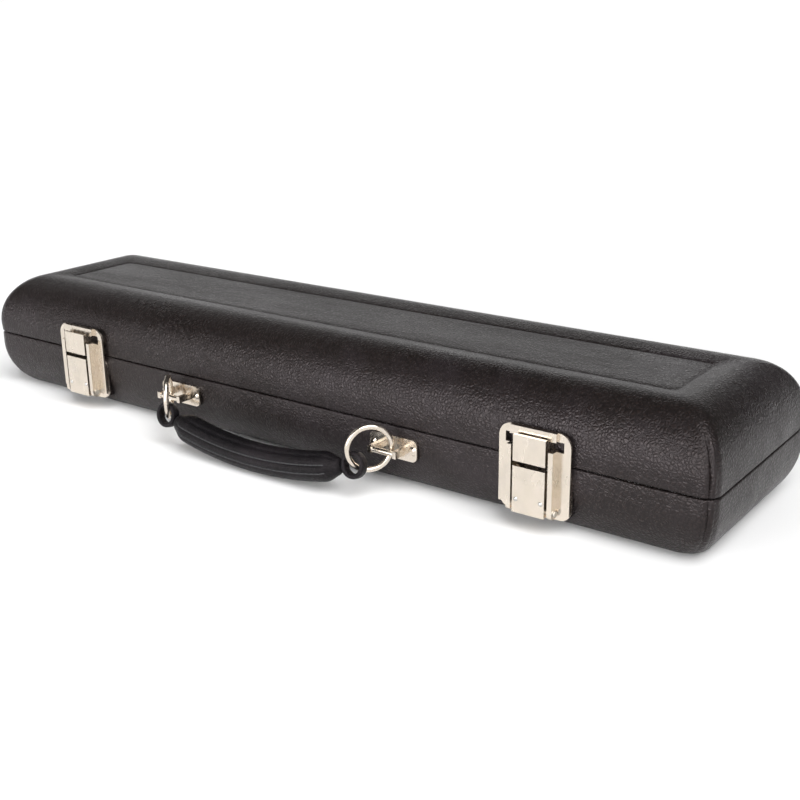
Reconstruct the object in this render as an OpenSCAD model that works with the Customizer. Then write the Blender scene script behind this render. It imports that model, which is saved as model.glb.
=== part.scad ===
// Hard flute case, closed, with two snap latches and a hanging grip handle.
// X runs along the case, Y from front to back, Z up; the origin is the middle of the underside.

/* [Case] */
// Length of the case, left to right
case_l = 400; // [385:5:420]
// Depth of the case, front to back
case_w = 98; // [94:1:106]
// Height of the closed case
case_h = 57; // [55:1:62]
// Height of the parting line between base and lid
base_h = 28; // [27:0.5:29]
// Plan radius of the upright corners
corner_r = 7; // [6:0.5:9]
// How far the lid's shoulder runs inwards
shoulder_run = 20; // [17:1:21]
// How far the lid's shoulder drops
shoulder_drop = 24; // [20:1:24]
// How far the base's lower edge runs inwards
foot_run = 13; // [10:1:14]
// How far the base's lower edge rises
foot_rise = 22; // [18:1:22]
// Wall thickness of the lid
lid_wall = 3; // [2.5:0.1:3.2]
// Wall thickness of the base
base_wall = 3.4; // [3.2:0.1:3.8]
// Open seam between base and lid
seam = 0.3; // [0.2:0.1:0.6]

/* [Top panel] */
// Width of the raised border around the top panel
border_w = 9; // [7:0.5:11]
// Depth of the sunk top panel
panel_depth = 1.2; // [0.6:0.1:1.4]

/* [Lining] */
// Length of the place for the body joint
body_len = 352; // [340:2:360]
// Width of the place for the body joint
body_wid = 32; // [28:1:32]
// Length of the place for the head joint
head_len = 226; // [215:1:228]
// Width of the place for the head joint
head_wid = 27; // [24:1:28]
// Length of the place for the foot joint
foot_len = 134; // [120:1:136]
// Width of the place for the foot joint
foot_wid = 30; // [26:1:30]
// Depth of the places for the three joints
joint_depth = 18; // [14:0.5:18]
// Length of the cleaning rod's place
rod_len = 330; // [300:5:340]
// Width of the cleaning rod's place
rod_wid = 10; // [8:0.5:10]
// Thickness of the padding over the lid's sides
pad_side = 6; // [5:0.5:8]
// Height of the free space under the lid's padding
lid_space = 15.5; // [12:0.5:17]

/* [Hinges] */
// Distance of each hinge from the end of the case
hinge_end = 80; // [60:2:100]
// Width of each hinge
hinge_w = 34; // [30:1:40]
// Height of each hinge leaf
leaf_h = 12; // [10:0.5:13]
// Thickness of each hinge leaf
leaf_t = 1.2; // [1:0.1:1.4]
// Radius of the hinge knuckles
knuckle_r = 2.2; // [2:0.1:2.3]
// Radius of the hinge pin
hinge_pin_r = 1; // [0.8:0.1:1.2]

/* [Latches] */
// Distance of each latch from the end of the case
latch_end = 70.6; // [60:0.1:80]
// Width of the latch frame and its base plate
latch_w = 31; // [30:0.5:34]
// Top edge of the latch frame above the underside
latch_top = 41.8; // [41:0.1:43]
// Bottom edge of the latch base plate above the underside
latch_bottom = 6.2; // [5:0.1:6.4]
// Width of the raised boxes in the middle of each latch
box_w = 14; // [13:0.5:15]
// How far the raised boxes stand off the case
box_out = 6.6; // [6.4:0.1:7.4]
// Height of the latch pin above the underside
latch_pin_z = 9.6; // [9.2:0.1:11]
// Distance of the latch pin from the case
latch_pin_out = 3.9; // [3.8:0.1:4]
// Radius of the latch pin
latch_pin_r = 0.9; // [0.7:0.05:1]

/* [Handle] */
// Distance of each handle mount from the middle of the case
mount_x = 62; // [56:1:70]
// Width of each handle mount
mount_w = 24; // [23:0.5:28]
// Height of each handle mount
mount_h = 9.6; // [9:0.1:12]
// Height of the mount's bar above the underside
bar_z = 19.2; // [18.8:0.1:20]
// Distance of the mount's bar from the case
bar_out = 8; // [8:0.1:9]
// Radius of the mount's bar
bar_r = 1.2; // [1:0.05:1.25]
// Radius of a handle ring, to the middle of its wire
ring_r = 9.3; // [9.2:0.1:9.6]
// Radius of the ring's wire
wire_r = 1.15; // [1:0.05:1.2]
// How far each ring is turned inwards
ring_yaw = 40; // [36:1:42]
// How far each ring is raised about its bar
ring_lift = 20; // [18:1:24]
// Radius of the grip's padded body
grip_r = 6.6; // [5.6:0.1:6.7]
// How far the middle of the grip hangs below its ends
grip_drop = 8; // [7.4:0.1:8.1]

/* [Hidden] */
$fn = 48;

eps = 0.01;               // thickness of a slice in a hull
cut = 1;                  // how far a cutter runs past what it cuts
run_gap = 0.05;           // radial clearance of a running fit
fit_gap = 0.3;            // clearance between parts that pass each other

leather = "#26262a";
plush = "#2b3350";
nickel = "#c9ccd1";
steel = "#8d9096";

// Case
slice_step = 11.25;       // degrees between the slices of a rounded edge
hollow_steps = [0.13, 0.32, 0.58, 1]; // shares of the foot's rise where the hollow is sliced
roof_steps = [0, 0.38, 0.71, 0.9, 1]; // shares of the shoulder's drop where the hollow is sliced
top_r = 4;                // plan radius at the top border
bottom_r = 9;             // plan radius at the underside
inner_r = 5;              // plan radius of the hollows
lid_side_z = case_h - shoulder_drop;
lid_roof = 3;             // thickness of the lid's top, panel included
base_floor = 3;           // thickness of the base's floor
panel_inset = shoulder_run + border_w;
panel_r = 3;
seat_deep = 6;            // how far a flat seat goes into the wall
seat_edge = 0.4;          // how far a mount's plate overlaps its seat

// Rim and lining
rim_t = 1.2;
rim_up = 4;               // how far the rim stands above the seam
rim_down = 6;
rim_inset = base_wall + run_gap;
insert_inset = base_wall + rim_t + 2 * fit_gap;
insert_top = base_h - 1.5;
row_wall = 3.5;           // padding left between the rows of places
back_row_y = 7.5;         // front edge of the body joint's place
rod_y = back_row_y - row_wall - rod_wid / 2;
front_row_y = -24.5;      // middle of the front row
end_wall = 11;            // padding at the ends of the front row
row_end = case_l / 2 - insert_inset - end_wall;
rod_depth = 10;
place_r = 4;              // plan radius of the places
space_r = 6;              // plan radius of the space under the lid's padding
lining_bottom = base_h + rim_up + 1.5;

// Hinges
hinge_x = case_l / 2 - hinge_end;
hinge_out = 2.6;          // distance of the hinge pin from the case
hinge_tab = 2.6;          // free height between a leaf and the pin's level
hinge_gap = 0.3;
hinge_rivet_x = 11;
hinge_rivet_z = 9.5;
hinge_rivet_r = 0.9;
hinge_head_r = 1.8;
hinge_head_h = 0.7;
knuckle_w = (hinge_w - 2 * hinge_gap) / 3;

// Latches
latch_x = case_l / 2 - latch_end;
plate_t = 1.2;
plate_r = 2.5;            // corner radius of the handle mounts
latch_plate_r = 4.5;      // corner radius of the latches' base plates
sheet = 1;                // sheet thickness of the boxes and webs
web_gap = 1;              // clearance between a box and the frame's webs
web_t = 2;
web_in = box_w / 2 + web_gap;
web_out = web_in + web_t;
frame_back = 1.5;         // distance of the frame's back face from the case
frame_t = 1;
bar_t = 2.5;              // thickness of the frame's top bar
bar_h = 3.5;              // height of the frame's top bar
frame_bottom = 9.1;
frame_corner = 5.5;
window_top = latch_top - bar_h;
window_wide = 12.6;       // half width of the window beside the keeper
window_step = 34.2;         // height where the window widens
web_top = 34.8;
box_bottom = 7.6;
box_top = base_h - 1.4;
keeper_bottom = base_h + 0.6;
keeper_top = window_top - fit_gap;
lip_h = 1.2;
lip_t = 1.4;
ear_w = 27;
ear_h = 3.2;
latch_rivet_r = 1.1;
bracket_rivets = [[-11.8, 11], [11.8, 11], [-11.8, 23], [11.8, 23]];
keeper_rivets = [[-10.8, 1.6], [10.8, 1.6]];
rivet_deep = 2.4;         // how far a rivet's shank goes into the wall
pin_head_r = 1.25;
pin_head_t = 0.6;
pin_head_gap = 0.1;       // clearance between a pin's head and the web

// Handle
leg_in = 5.4;
leg_w = 1.8;
leg_h = 3;
mount_rivet_x = 10;
mount_rivet_r = 1.2;
mount_head_r = 2;
mount_head_h = 1;
bar_to_ring = 6;          // distance from the bar's axis to the ring's middle, in the ring's plane
ring_dx = -bar_to_ring * cos(ring_lift) * sin(ring_yaw);
ring_out = bar_out + bar_to_ring * cos(ring_lift) * cos(ring_yaw);
ring_z = bar_z + bar_to_ring * sin(ring_lift);
hold_angle = 45;          // how far below the horizontal the loop holds the ring
hold_x = mount_x + ring_dx - ring_r * cos(hold_angle) * sin(ring_yaw);
hold_out = ring_out + ring_r * cos(hold_angle) * cos(ring_yaw);
hold_z = ring_z - ring_r * sin(hold_angle);
loop_r = 4.5;
loop_wire_r = 1.5;
shank_r = 1.2;
shank_end = 12;           // where the shank ends, from the middle of the loop
grip_tilt = 11.8;         // how far the hanging grip leans away from the case
arc_r = (hold_x * hold_x + grip_drop * grip_drop) / (2 * grip_drop);
arc_end = asin(hold_x / arc_r);
taper_len = 14;           // from the middle of the loop to the grip's full section
taper_gap = 0.2;
taper_step = 0.5;         // step where the taper meets the full section
arc_full = arc_end - taper_len / arc_r * 180 / PI;
grip_neck_r = 3;
core_w = 6;
core_t = 1.2;
core_gap = 0.4;           // free end of the steel core before each shank
core_half = arc_end - (shank_end + core_gap) / arc_r * 180 / PI;
slot_half = arc_end - (shank_end - core_gap) / arc_r * 180 / PI;

// Inset of the outer surface of the lid and of the base at a height
function lid_inset(z) = z <= lid_side_z ? 0
    : shoulder_run * (1 - sqrt(1 - pow((z - lid_side_z) / shoulder_drop, 2)));
function base_inset(z) = z >= foot_rise ? 0
    : foot_run * (1 - sqrt(1 - pow((foot_rise - z) / foot_rise, 2)));
function blend(a, b, t) = a + (b - a) * t;

// Levels of a form: [inset, height, plan radius]
lid_levels = concat(
    [[0, base_h + seam / 2, corner_r]],
    [for (t = [0 : slice_step : 90])
        let (z = lid_side_z + shoulder_drop * sin(t))
        [shoulder_run * (1 - cos(t)), z - eps, blend(corner_r, top_r, 1 - cos(t))]]
);
base_levels = concat(
    [for (t = [90 : -slice_step : 0])
        [foot_run * (1 - cos(t)), foot_rise * (1 - sin(t)), blend(corner_r, bottom_r, 1 - cos(t))]],
    [[0, base_h - seam / 2 - eps, corner_r]]
);
base_hollow = [for (z = concat(base_floor, [for (t = hollow_steps) blend(base_floor, foot_rise, t)], base_h + cut))
    [base_inset(z) + base_wall, z, inner_r]];
lid_hollow = [for (z = concat(base_h - cut, [for (t = roof_steps) blend(lid_side_z, case_h - lid_roof, t)]))
    [lid_inset(z) + lid_wall, z, inner_r]];

module slice(level, extra) {
    for (sx = [-1, 1], sy = [-1, 1])
        translate([sx * (case_l / 2 - level[0] - extra - level[2]),
                   sy * (case_w / 2 - level[0] - extra - level[2]), level[1]])
            cylinder(r = level[2], h = eps, $fn = 32);
}

module form(levels, extra = 0) {
    hull() for (level = levels) slice(level, extra);
}

module round_rect(l, w, r) {
    square([l - 2 * r, w], center = true);
    square([l, w - 2 * r], center = true);
    for (sx = [-1, 1], sy = [-1, 1])
        translate([sx * (l / 2 - r), sy * (w / 2 - r)]) circle(r);
}

module round_block(l, w, r, z0, z1) {
    translate([0, 0, z0]) linear_extrude(height = z1 - z0) round_rect(l, w, r);
}

// Local frame on the front face: x along the case, y up, z out of the face
module on_front(x) {
    translate([x, -case_w / 2, 0]) rotate([90, 0, 0]) children();
}

// Local frame on the back face, at the hinge pin's level: y out of the face
module on_back(x) {
    translate([x, case_w / 2, base_h]) children();
}

// Flat moulded seat that fills the space behind a plate
module seat(x, w, z0, z1, side) {
    y0 = side < 0 ? -case_w / 2 : case_w / 2 - seat_deep;
    translate([x - w / 2, y0, z0]) cube([w, seat_deep, z1 - z0]);
}

module rivet(r, head_r, head_h, top, length) {
    translate([0, 0, top - length]) cylinder(r = r, h = length);
    if (head_h > 0) translate([0, 0, top]) cylinder(r1 = head_r, r2 = head_r * 0.6, h = head_h);
}

// ---- rivet patterns, used for the rivets and for their holes ----
module hinge_rivet_shape(dir) {
    for (side = [-1, 1], s = [-1, 1])
        on_back(side * hinge_x)
            translate([s * hinge_rivet_x, 0, dir * hinge_rivet_z])
                rotate([-90, 0, 0])
                    rivet(hinge_rivet_r, hinge_head_r, hinge_head_h, leaf_t, leaf_t + rivet_deep);
}

module bracket_rivet_shape() {
    for (side = [-1, 1], p = bracket_rivets)
        on_front(side * latch_x)
            translate([p[0], p[1], 0]) rivet(latch_rivet_r, 0, 0, plate_t, plate_t + rivet_deep);
}

module keeper_rivet_shape() {
    for (side = [-1, 1], p = keeper_rivets)
        on_front(side * latch_x)
            translate([p[0], keeper_bottom + p[1], 0])
                rivet(latch_rivet_r, 0, 0, sheet, sheet + rivet_deep);
}

module mount_rivet_shape() {
    for (side = [-1, 1], s = [-1, 1])
        on_front(side * mount_x)
            translate([s * mount_rivet_x, bar_z, 0])
                rivet(mount_rivet_r, mount_head_r, mount_head_h, plate_t, plate_t + rivet_deep);
}

// ---- case ----
module base_shell() {
    color(leather) difference() {
        union() {
            form(base_levels);
            for (side = [-1, 1]) {
                seat(side * latch_x, latch_w - 2, latch_bottom + 1, box_top, -1);
                seat(side * mount_x, mount_w - 2 * seat_edge,
                     bar_z - mount_h / 2 + seat_edge, bar_z + mount_h / 2 - seat_edge, -1);
                seat(side * hinge_x, hinge_w, base_h - hinge_tab - leaf_h, base_h - seam / 2, 1);
            }
        }
        form(base_hollow);
        bracket_rivet_shape();
        mount_rivet_shape();
        hinge_rivet_shape(-1);
    }
}

module base_rim() {
    color(nickel) difference() {
        round_block(case_l - 2 * rim_inset, case_w - 2 * rim_inset, inner_r - run_gap,
                    base_h - rim_down, base_h + rim_up);
        round_block(case_l - 2 * rim_inset - 2 * rim_t, case_w - 2 * rim_inset - 2 * rim_t,
                    inner_r - run_gap - rim_t, base_h - rim_down - cut, base_h + rim_up + cut);
    }
}

module place(x0, y, l, w, depth) {
    translate([x0 + l / 2, y, insert_top - depth])
        linear_extrude(height = depth + cut) round_rect(l, w, place_r);
}

module base_insert() {
    color(plush) difference() {
        intersection() {
            form(base_hollow, fit_gap);
            round_block(case_l - 2 * insert_inset, case_w - 2 * insert_inset, inner_r, 0, insert_top);
        }
        place(-body_len / 2, back_row_y + body_wid / 2, body_len, body_wid, joint_depth);
        place(-row_end, front_row_y, head_len, head_wid, joint_depth);
        place(row_end - foot_len, front_row_y, foot_len, foot_wid, joint_depth);
        place(-rod_len / 2, rod_y, rod_len, rod_wid, rod_depth);
    }
}

module lid_shell() {
    color(leather) difference() {
        union() {
            form(lid_levels);
            for (side = [-1, 1]) {
                seat(side * latch_x, box_w, keeper_bottom, keeper_top, -1);
                seat(side * hinge_x, hinge_w, base_h + seam / 2, base_h + hinge_tab + leaf_h, 1);
            }
        }
        form(lid_hollow);
        round_block(case_l - 2 * panel_inset, case_w - 2 * panel_inset, panel_r,
                    case_h - panel_depth, case_h + cut);
        keeper_rivet_shape();
        hinge_rivet_shape(1);
    }
}

module lid_lining() {
    color(plush) difference() {
        intersection() {
            form(lid_hollow, fit_gap);
            translate([0, 0, lining_bottom]) linear_extrude(height = case_h) square([case_l, case_w], center = true);
        }
        translate([0, 0, case_h - lid_roof - eps - fit_gap])
            linear_extrude(height = cut) square([case_l, case_w], center = true);
        round_block(case_l - 2 * (lid_wall + pad_side), case_w - 2 * (lid_wall + pad_side), space_r,
                    base_h, base_h + lid_space);
    }
}

// ---- hinges ----
module hinge_leaf(dir, spans) {
    plate_z = dir > 0 ? hinge_tab : -hinge_tab - leaf_h;
    tab_z = dir > 0 ? 0 : -hinge_tab;
    difference() {
        union() {
            translate([-hinge_w / 2, 0, plate_z]) cube([hinge_w, leaf_t, leaf_h]);
            for (s = spans) {
                translate([s, 0, tab_z]) cube([knuckle_w, leaf_t, hinge_tab]);
                translate([s, hinge_out, 0]) rotate([0, 90, 0]) cylinder(r = knuckle_r, h = knuckle_w);
            }
        }
        translate([-hinge_w, hinge_out, 0]) rotate([0, 90, 0])
            cylinder(r = hinge_pin_r + (dir > 0 ? run_gap : 0), h = 2 * hinge_w);
    }
}

module hinge_leaf_base(side) {
    color(nickel) difference() {
        on_back(side * hinge_x) hinge_leaf(-1, [-hinge_w / 2, hinge_w / 2 - knuckle_w]);
        hinge_rivet_shape(-1);
    }
}

module hinge_leaf_lid(side) {
    color(nickel) difference() {
        on_back(side * hinge_x) hinge_leaf(1, [-knuckle_w / 2]);
        hinge_rivet_shape(1);
    }
}

module hinge_pin(side) {
    color(steel) on_back(side * hinge_x)
        translate([-hinge_w / 2, hinge_out, 0]) rotate([0, 90, 0]) cylinder(r = hinge_pin_r, h = hinge_w);
}

module hinge_rivets(dir) {
    color(nickel) hinge_rivet_shape(dir);
}

// ---- latches ----
module latch_bracket(side) {
    color(nickel) difference() {
        on_front(side * latch_x) difference() {
            union() {
                translate([0, (latch_bottom + box_top) / 2, 0])
                    linear_extrude(height = plate_t) round_rect(latch_w, box_top - latch_bottom, latch_plate_r);
                translate([-box_w / 2, box_bottom, 0]) cube([box_w, box_top - box_bottom, box_out]);
            }
            translate([-box_w / 2 + sheet, box_bottom + sheet, plate_t])
                cube([box_w - 2 * sheet, box_top - box_bottom - 2 * sheet, box_out - plate_t - sheet]);
            latch_bore(latch_pin_r);
        }
        bracket_rivet_shape();
    }
}

module latch_bore(r) {
    translate([-latch_w, latch_pin_z, latch_pin_out]) rotate([0, 90, 0]) cylinder(r = r, h = 2 * latch_w);
}

module latch_keeper(side) {
    color(nickel) difference() {
        on_front(side * latch_x) {
            difference() {
                union() {
                    translate([-box_w / 2, keeper_bottom, 0]) cube([box_w, keeper_top - keeper_bottom, box_out]);
                    translate([-box_w / 2, keeper_top, box_out - lip_t]) cube([box_w, lip_h, lip_t]);
                    translate([-ear_w / 2, keeper_bottom, 0]) cube([ear_w, ear_h, sheet]);
                }
                translate([-box_w / 2 + sheet, keeper_bottom + sheet, sheet])
                    cube([box_w - 2 * sheet, keeper_top - keeper_bottom - 2 * sheet, box_out - 2 * sheet]);
            }
        }
        keeper_rivet_shape();
    }
}

// Outline of the frame seen from the front: two arms, a top bar and a T-shaped window
module frame_outline() {
    difference() {
        union() {
            translate([-latch_w / 2, frame_bottom])
                square([latch_w, latch_top - frame_bottom - frame_corner]);
            translate([-latch_w / 2 + frame_corner, latch_top - 2 * frame_corner])
                square([latch_w - 2 * frame_corner, 2 * frame_corner]);
            for (s = [-1, 1])
                translate([s * (latch_w / 2 - frame_corner), latch_top - frame_corner]) circle(frame_corner);
        }
        translate([-web_in, 0]) square([2 * web_in, window_top]);
        translate([-window_wide, window_step]) square([2 * window_wide, window_top - window_step]);
    }
}

// A web beside the boxes, with a round eye about the pin
module frame_web(x) {
    eye_r = latch_pin_out - frame_back;
    translate([x, latch_pin_z, latch_pin_out]) rotate([0, 90, 0])
        cylinder(r = eye_r, h = web_out - web_in);
    translate([x, latch_pin_z, frame_back])
        cube([web_out - web_in, web_top - latch_pin_z, 2 * eye_r]);
}

module latch_frame(side) {
    color(nickel) on_front(side * latch_x) difference() {
        union() {
            translate([0, 0, frame_back]) linear_extrude(height = frame_t) frame_outline();
            translate([-latch_w / 2 + frame_corner, window_top, frame_back])
                cube([latch_w - 2 * frame_corner, bar_h, bar_t]);
            frame_web(web_in);
            frame_web(-web_out);
        }
        latch_bore(latch_pin_r + run_gap);
    }
}

module latch_pin(side) {
    head_x = web_out + pin_head_gap;
    color(steel) on_front(side * latch_x) {
        translate([-head_x - pin_head_t, latch_pin_z, latch_pin_out]) rotate([0, 90, 0])
            cylinder(r = latch_pin_r, h = 2 * (head_x + pin_head_t));
        for (s = [-1, 1])
            translate([s * (head_x + pin_head_t / 2), latch_pin_z, latch_pin_out]) rotate([0, 90, 0])
                cylinder(r = pin_head_r, h = pin_head_t, center = true);
    }
}

module latch_rivets_base() {
    color(steel) bracket_rivet_shape();
}

module latch_rivets_lid() {
    color(steel) keeper_rivet_shape();
}

// ---- handle ----
module handle_plate(side) {
    color(nickel) difference() {
        on_front(side * mount_x) {
            translate([0, bar_z, 0]) linear_extrude(height = plate_t) round_rect(mount_w, mount_h, plate_r);
            for (s = [-1, 1])
                translate([s * (leg_in + leg_w / 2) - leg_w / 2, bar_z - leg_h / 2, 0])
                    cube([leg_w, leg_h, bar_out + bar_r]);
            translate([-leg_in - cut, bar_z, bar_out]) rotate([0, 90, 0])
                cylinder(r = bar_r, h = 2 * (leg_in + cut));
        }
        mount_rivet_shape();
    }
}

module handle_rivets() {
    color(nickel) mount_rivet_shape();
}

module handle_ring(side) {
    color(nickel) translate([side * (mount_x + ring_dx), -case_w / 2 - ring_out, ring_z])
        rotate([90, 0, side * (90 - ring_yaw)])
            rotate_extrude() translate([ring_r, 0]) circle(wire_r);
}

// Local frame of the grip: x along the case, y down its hanging arc
module on_grip() {
    translate([0, -case_w / 2 - hold_out, hold_z]) rotate([-90 - grip_tilt, 0, 0]) children();
}

// From the loop at one end towards the grip, along x
module from_loop(side) {
    translate([side * hold_x, 0, 0]) mirror([side > 0 ? 1 : 0, 0, 0])
        rotate([0, 0, (arc_end + arc_full) / 2]) children();
}

module shank(side) {
    from_loop(side) translate([loop_r, 0, 0]) rotate([0, 90, 0])
        cylinder(r = shank_r, h = shank_end - loop_r);
}

module handle_loop(side) {
    color(leather) on_grip() {
        from_loop(side) rotate_extrude() translate([loop_r, 0]) circle(loop_wire_r);
        shank(side);
    }
}

// Part of the grip's arc, from one end angle to the other, with its section as children
module arc_sweep(half) {
    translate([0, grip_drop - arc_r, 0]) rotate([0, 0, 90 - half])
        rotate_extrude(angle = 2 * half, $fn = 200) translate([arc_r, 0]) children();
}

module handle_core() {
    color(steel) on_grip() arc_sweep(core_half) square([core_t, core_w], center = true);
}

module handle_grip() {
    neck = loop_r + loop_wire_r + taper_gap;
    color(leather) on_grip() difference() {
        union() {
            arc_sweep(arc_full) circle(grip_r);
            for (side = [-1, 1])
                from_loop(side) translate([neck, 0, 0]) rotate([0, 90, 0])
                    cylinder(r1 = grip_neck_r, r2 = grip_r - taper_step, h = taper_len + cut - neck);
        }
        arc_sweep(slot_half) square([core_t, core_w], center = true);
        for (side = [-1, 1]) shank(side);
    }
}

base_shell();
base_rim();
base_insert();
lid_shell();
lid_lining();
hinge_leaf_base(-1);  // hinge_leaf_base_left
hinge_leaf_base(1);  // hinge_leaf_base_right
hinge_leaf_lid(-1);  // hinge_leaf_lid_left
hinge_leaf_lid(1);  // hinge_leaf_lid_right
hinge_pin(-1);  // hinge_pin_left
hinge_pin(1);  // hinge_pin_right
hinge_rivets(-1);  // hinge_rivets_base
hinge_rivets(1);  // hinge_rivets_lid
latch_bracket(-1);  // latch_bracket_left
latch_bracket(1);  // latch_bracket_right
latch_keeper(-1);  // latch_keeper_left
latch_keeper(1);  // latch_keeper_right
latch_frame(-1);  // latch_frame_left
latch_frame(1);  // latch_frame_right
latch_pin(-1);  // latch_pin_left
latch_pin(1);  // latch_pin_right
latch_rivets_base();
latch_rivets_lid();
handle_plate(-1);  // handle_plate_left
handle_plate(1);  // handle_plate_right
handle_rivets();
handle_ring(-1);  // handle_ring_left
handle_ring(1);  // handle_ring_right
handle_loop(-1);  // handle_loop_left
handle_loop(1);  // handle_loop_right
handle_core();
handle_grip();
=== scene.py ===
# The looks of a hard flute case: leathered shells, nickel fittings, a stitched grip and plush linings.
import math

import bmesh
import bpy
from bpy.props import FloatProperty, FloatVectorProperty, PointerProperty
from bpy.types import Operator, Panel, PropertyGroup
from mathutils import Matrix, Vector, noise
from mathutils.bvhtree import BVHTree


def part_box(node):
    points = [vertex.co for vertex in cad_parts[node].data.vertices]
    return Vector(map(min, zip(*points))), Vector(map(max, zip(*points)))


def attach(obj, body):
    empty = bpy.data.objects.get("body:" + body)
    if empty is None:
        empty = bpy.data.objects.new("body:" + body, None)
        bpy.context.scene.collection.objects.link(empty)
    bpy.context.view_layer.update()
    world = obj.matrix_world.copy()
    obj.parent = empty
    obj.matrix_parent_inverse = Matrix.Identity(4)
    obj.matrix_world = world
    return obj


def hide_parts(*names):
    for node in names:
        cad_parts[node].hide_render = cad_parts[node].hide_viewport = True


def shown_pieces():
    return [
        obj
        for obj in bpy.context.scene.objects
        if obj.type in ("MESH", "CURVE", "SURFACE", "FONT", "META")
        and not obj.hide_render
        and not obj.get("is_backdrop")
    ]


bl_info = {
    "name": "Flute case",
    "version": (1, 0, 0),
    "blender": (4, 5, 0),
    "location": "3D View > Sidebar > Flute case",
    "description": "Builds the finish of a hard flute case on its packed frame",
    "category": "Object",
}

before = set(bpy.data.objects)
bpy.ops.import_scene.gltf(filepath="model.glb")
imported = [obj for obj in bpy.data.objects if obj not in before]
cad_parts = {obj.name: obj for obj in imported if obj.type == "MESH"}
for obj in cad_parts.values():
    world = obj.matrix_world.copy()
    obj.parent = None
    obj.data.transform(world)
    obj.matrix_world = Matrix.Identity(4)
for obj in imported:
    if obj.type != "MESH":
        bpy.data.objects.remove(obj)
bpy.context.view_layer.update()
MM = 0.001

# ---- sizes that the frame gives, in metres ----
base_low, base_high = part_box("base_shell")
lid_low, lid_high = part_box("lid_shell")
insert_low, insert_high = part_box("base_insert")
lining_low, lining_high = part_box("lid_lining")
CASE_L = base_high[0] - base_low[0]
CASE_W = base_high[1] - base_low[1]
CASE_H = lid_high[2]
SEAM_LOW = base_high[2]
SEAM_HIGH = lid_low[2]

# ---- sizes of the shells, as the part has them, but for the corner, which is 7 mm there ----
CORNER_R = 5.8 * MM
TOP_R = 4 * MM
BOTTOM_R = 9 * MM
INNER_R = 5 * MM
SHOULDER_RUN = 20 * MM
SHOULDER_DROP = 24 * MM
FOOT_RUN = 13 * MM
FOOT_RISE = 22 * MM
LID_WALL = 3 * MM
BASE_WALL = 3.4 * MM
FLOOR = 3 * MM
SIDE_Z = CASE_H - SHOULDER_DROP
BORDER_W = 9 * MM
PANEL_DEPTH = 1.2 * MM
PANEL_R = 3 * MM
LATCH_X = 129.4 * MM
MOUNT_X = 62 * MM
HINGE_X = 120 * MM
BOX_W = 14 * MM
SEAT_EDGE = 0.4 * MM

# ---- sizes of the handle, as the part has them ----
HOLD_X = 54.149 * MM
HOLD_OUT = 17.357 * MM
HOLD_Z = 14.676 * MM
GRIP_DROP = 8 * MM
GRIP_TILT = math.radians(11.8)
GRIP_R = 6.6 * MM

# ---- camera, settled by the image points ----
CAM_PLACE = (337.82 * MM, -419.84 * MM, 197.70 * MM)
CAM_AZIMUTH = math.radians(36.336)
CAM_ELEVATION = math.radians(18.931)
CAM_ROLL = math.radians(-0.718)
CAM_LENS = 53.89
CAM_SENSOR = 36.0

# ---- studio: white all round up to a dark ceiling, lit by one broad soft key ----
CEILING_WAY = (0.0, 0.0, 1.0)
CEILING_EDGE = math.radians(54)
CEILING_FADE = math.radians(70)
ROOM_LIGHT = 1.15
CEILING_LIGHT = 0.05
# Light or shade in the room: the way to it, the angles at which its fade starts and ends, its strength
ROOM_PATCHES = [
    ((-0.24, -0.96, 0.1), math.radians(8), math.radians(29), 7.5),
    ((-0.93, -0.36, 0.06), math.radians(16), math.radians(38), -1.1),
    ((0.45, 0.76, 0.42), math.radians(22), math.radians(48), -1.1),
]
KEY_WAY = (0.5, -0.3, 0.8)
KEY_LIGHT = 3.1
KEY_SOFTNESS = math.radians(50)
FILL_PLACE = (0.4, -2.2, 1.3)
FILL_AIM = (0, 0, 0.03)
FILL_SIZE = (1.2, 0.8)
FILL_LIGHT = 6
FLOOR_SIZE = 60
FLOOR_Z = -0.2 * MM

# ---- image points: (x, y) in the photograph's frame of 800 by 800 ----
PHOTO_W = 800
PHOTO_H = 800
IMAGE_POINTS = {
    "left_edge": (4, None),
    "top_edge": (None, 256),
    "bottom_edge": (None, 553),
    "latch_left_middle": (84, 357),
    "latch_right_middle": (536, 470),
    "ring_right_middle": (365, 447),
    "mount_left_middle": (181, 394),
    "mount_right_edge": (416, None),
    "mount_right_level": (None, 447),
    "grip_bottom": (None, 480),
    "panel_back_left": (130, 261),
    "panel_back_right": (720, 363),
    "seam_corner": (712, 501),
    "dimple_low_left": (512, 498),
    "dimple_low_right": (542, 505),
}


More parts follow.
